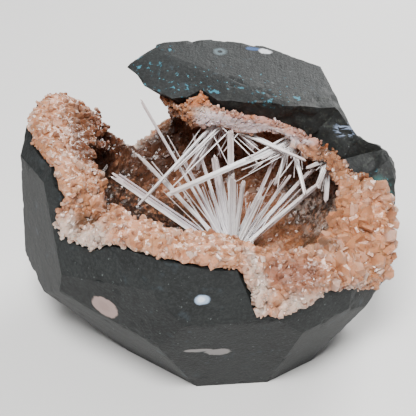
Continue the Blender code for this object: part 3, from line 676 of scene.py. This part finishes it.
# Many-sided flat prisms with a blunt point. A ring's point is the foot, plus the needle's
# way x its share of the shoulder's height, plus cosine and sine x half the thickness x a taper.
def needleMesh(starts, tips, thick, pale, rng, name):
    count, sides = len(starts), needlePlan["sides"]
    way = unit(tips - starts)
    length = np.linalg.norm(tips - starts, axis=1)
    turn = frameOf(way, rng.uniform(0, 2 * math.pi, count))
    angle = np.arange(sides) * 2 * math.pi / sides
    ring = np.c_[np.cos(angle), np.sin(angle) * needlePlan["flat"], np.zeros(sides)]
    shares = np.array([0.0, 0.55, 1.0])
    tapers = np.array([1.0, 0.98, 0.94])
    shoulder = length - needlePlan["point"] * thick
    rings = np.zeros((count, 3, sides, 3))
    for k in range(3):
        local = ring[None] * (thick[:, None, None] / 2) * tapers[k]
        local[:, :, 2] = (shares[k] * shoulder)[:, None]
        rings[:, k] = np.einsum("nij,nkj->nki", turn, local) + starts[:, None]
    points = np.concatenate([rings.reshape(count, -1, 3), starts[:, None], tips[:, None]], axis=1)
    each = points.shape[1]
    foot, peak = each - 2, each - 1
    faces = []
    for j in range(sides):
        n = (j + 1) % sides
        for k in range(2):
            low, high = k * sides, (k + 1) * sides
            faces += [(low + j, low + n, high + n), (low + j, high + n, high + j)]
        faces += [(foot, n, j), (2 * sides + j, 2 * sides + n, peak)]
    faces = np.array(faces)
    index = faces[None] + (np.arange(count) * each)[:, None, None]
    item = newMesh(name, keepInBox(points.reshape(-1, 3)), index.reshape(-1, 3))
    tint = item.data.attributes.new("tint", "FLOAT", "POINT")
    own = np.clip(pale + rng.normal(0, needlePlan["mottled"], count), 0, 1)
    tint.data.foreach_set("value", np.repeat(own, each).astype(np.float32))
    part = np.concatenate([np.repeat(shares * 0.95, sides), [0.0, 1.0]])
    along = item.data.attributes.new("along", "FLOAT", "POINT")
    along.data.foreach_set("value", np.tile(part, count).astype(np.float32))
    return item


# Each CAD needle becomes a sheaf of parallel needles, the first of which ends at the CAD tip;
# finer needles run between neighbouring sheaves.
def makeSpray(node, plan, material, seed):
    rng = np.random.default_rng(seed)
    starts, tips, thick, pale = [], [], [], []
    for start, tip, across in plan["needles"]:
        a, b = mm(start), mm(tip)
        count = max(3, int(across * needlePlan["perMm"]))
        turn = frameOf(unit((b - a)[None]), np.zeros(1))[0]
        spin = rng.uniform(0, 2 * math.pi, count)
        reach = np.sqrt(rng.random(count)) * across / 2 * 0.001
        reach[0] = 0.0
        side = np.c_[np.cos(spin), np.sin(spin)] * reach[:, None]
        share = 1 - np.abs(rng.normal(0, needlePlan["uneven"], count))
        share[0] = 1.0
        lean = 1 + rng.uniform(*needlePlan["lean"], count)
        foot = a + (side @ turn[:, :2].T) * needlePlan["foot"]
        head = a + share[:, None] * (b - a) + (side @ turn[:, :2].T) * lean[:, None]
        starts.append(foot)
        tips.append(head)
        thick.append(rng.uniform(*needlePlan["thick"], count) * 0.001)
        # painted shade: needles that end further back are darker
        pale.append(np.full(count, needlePlan["front"] - needlePlan["paintedShadePerMm"] * tip[1]))
    mains = np.array([(mm(s), mm(t)) for s, t, _ in plan["needles"]])
    count = plan["fine"]
    pick = rng.integers(0, len(mains), (2, count))
    mix = rng.uniform(0.1, 0.9, count)[:, None]
    foot = mains[pick[0], 0] + rng.normal(0, 0.0008, (count, 3)) * plan["spread"]
    target = mains[pick[0], 1] * (1 - mix) + mains[pick[1], 1] * mix
    head = foot + (target - foot) * rng.uniform(*needlePlan["fineLength"], count)[:, None]
    starts.append(foot)
    tips.append(head)
    thick.append(rng.uniform(*needlePlan["fineThick"], count) * 0.001)
    pale.append(needlePlan["front"] - needlePlan["paintedShadePerMm"] * target[:, 1] * 1000)
    joined = [np.concatenate(part) for part in (starts, tips, thick, pale)]
    item = needleMesh(*joined, rng, plan["piece"])
    finishPiece(item, material, [node])


# Metres and watts: each lamp is its place, power and size.
stagePlan = {"front": -1.6, "bend": 0.55, "round": 0.35, "top": 1.6, "half": 2.0, "aim": (0, 0, 0.045),
             "air": 0.18}
lamps = {"keyLamp": ((-0.06, -0.48, 0.74), 16.0, 0.25), "backLamp": ((0.40, 0.60, 0.50), 11.5, 0.4),
         "sideLamp": ((-0.65, -0.10, 0.35), 0.6, 0.5)}


# A plain pale floor and three soft lamps. The floor is a profile carried from left to right:
# level, then a quarter round up, then straight up.
def makeStage():
    turns = np.linspace(0, math.pi / 2, 13)
    bend, curve, wall = stagePlan["bend"], stagePlan["round"], stagePlan["bend"] + stagePlan["round"]
    back = np.r_[stagePlan["front"], bend, bend + curve * np.sin(turns), wall, wall]
    up = np.r_[0.0, 0.0, curve - curve * np.cos(turns), 0.9, stagePlan["top"]]
    wide = np.array([-stagePlan["half"], stagePlan["half"]])
    points = np.array([(x, y, z) for x in wide for y, z in zip(back, up)])
    row = len(back)
    faces = [(k, row + k, row + k + 1, k + 1) for k in range(row - 1)]
    floor = newMesh("floor", points, faces, True)
    material, _, shader = newMaterial("paleFloor")
    shader.inputs["Base Color"].default_value = hexColor("#d9d8d6")
    shader.inputs["Roughness"].default_value = 0.8
    floor.data.materials.append(material)
    for name, (place, power, size) in lamps.items():
        lamp = bpy.data.lights.new(name, "AREA")
        lamp.energy, lamp.size = power, size
        item = bpy.data.objects.new(name, lamp)
        item.location = place
        aim = Vector(stagePlan["aim"]) - Vector(place)
        item.rotation_euler = aim.to_track_quat("-Z", "Y").to_euler()
        bpy.context.scene.collection.objects.link(item)
    world = bpy.data.worlds.new("studioAir")
    world.use_nodes = True
    world.node_tree.nodes["Background"].inputs[0].default_value = hexColor("#cfd2d6")
    world.node_tree.nodes["Background"].inputs[1].default_value = stagePlan["air"]
    bpy.context.scene.world = world


# Degrees, metres, plan mm, and the lens and sensor in mm.
photo = {"elevation": 34.0, "distance": 0.375, "target": (0, 0, 44), "lens": 100.0, "sensor": 36.0}


def makeCamera():
    lens = bpy.data.cameras.new("photoCamera")
    lens.lens, lens.sensor_width = photo["lens"], photo["sensor"]
    lens.clip_start = 0.01
    item = bpy.data.objects.new("photoCamera", lens)
    tilt = math.radians(photo["elevation"])
    back = Vector((0, -math.cos(tilt), math.sin(tilt)))
    item.location = Vector(mm(photo["target"])) + back * photo["distance"]
    item.rotation_euler = (-back).to_track_quat("-Z", "Y").to_euler()
    bpy.context.scene.collection.objects.link(item)
    bpy.context.scene.camera = item


makeCamera()
makeStage()
makeBasalt()
makeCrustSkin()
openFaces = crustFaces()
print("open crust", round(openFaces[2].sum() * 1e6), "square mm")
allNeedles = [needle for plan in sprays.values() for needle in plan["needles"]]
crystalFinish = makeHeulanditeMaterial("heulanditeCrystal", "#bf9074", crystalLayers, 0.22)
for name, plan in crystalPlans.items():
    scatterBlocks(name, crystalFinish, openFaces, plan, allNeedles)
needleFinish = makeScoleciteMaterial()
for k, (node, plan) in enumerate(sprays.items()):
    makeSpray(node, plan, needleFinish, 40 + k)

bpy.context.view_layer.update()
